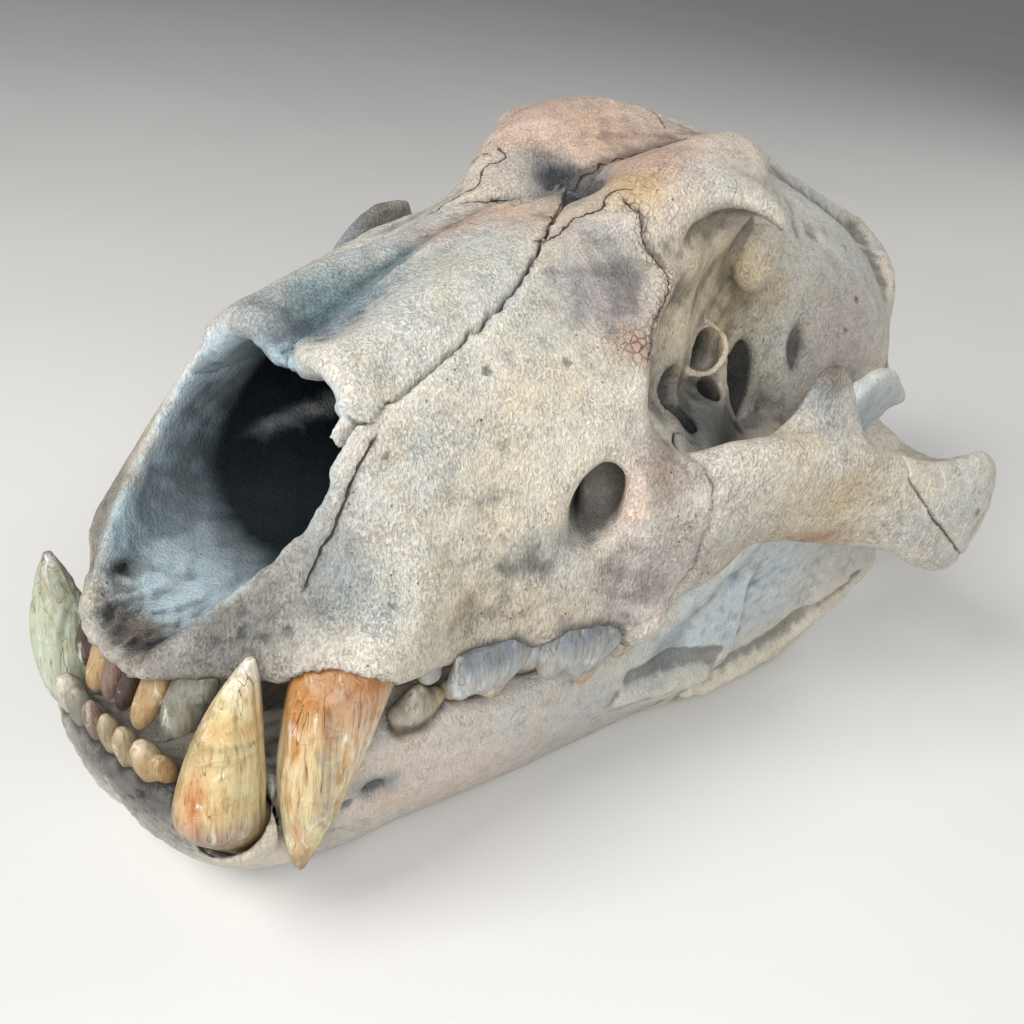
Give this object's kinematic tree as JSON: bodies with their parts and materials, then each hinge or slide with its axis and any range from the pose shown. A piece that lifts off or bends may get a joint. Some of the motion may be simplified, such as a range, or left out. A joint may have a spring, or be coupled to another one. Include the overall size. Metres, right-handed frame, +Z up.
{
  "type": "cave lion skull",
  "caption": "Life-size skull of an extinct big cat resting on its closed lower jaw, with a wide nose opening, flared cheek arches, a low crest and long canine teeth.",
  "frame": {"origin": "middle of the length and breadth, at the height of the surface the lower jaw rests on", "axes": "+X towards the animal's left, +Y towards the back of the skull, +Z up"},
  "size_m": [0.2494, 0.3896, 0.1942],
  "materials": {
    "cranium": "weathered dry bone, matt",
    "nasal_left": "weathered dry bone, matt",
    "nasal_right": "weathered dry bone, matt",
    "zygomatic_left": "weathered dry bone, matt",
    "zygomatic_right": "weathered dry bone, matt",
    "mandible_left": "weathered dry bone, matt",
    "mandible_right": "weathered dry bone, matt",
    "upper_canine_left": "aged tooth enamel and dentine, satin",
    "upper_canine_right": "aged tooth enamel and dentine, satin",
    "lower_canine_left": "aged tooth enamel and dentine, satin",
    "lower_canine_right": "aged tooth enamel and dentine, satin"
  },
  "bodies": {
    "root": {"cranium": "cranium", "nasal_left": "nasal_left", "nasal_right": "nasal_right", "zygomatic_left": "zygomatic_left", "zygomatic_right": "zygomatic_right", "mandible_left": "mandible_left", "mandible_right": "mandible_right", "upper_canine_left": "upper_canine_left", "upper_canine_right": "upper_canine_right", "lower_canine_left": "lower_canine_left", "lower_canine_right": "lower_canine_right"}
  },
  "joints": []
}
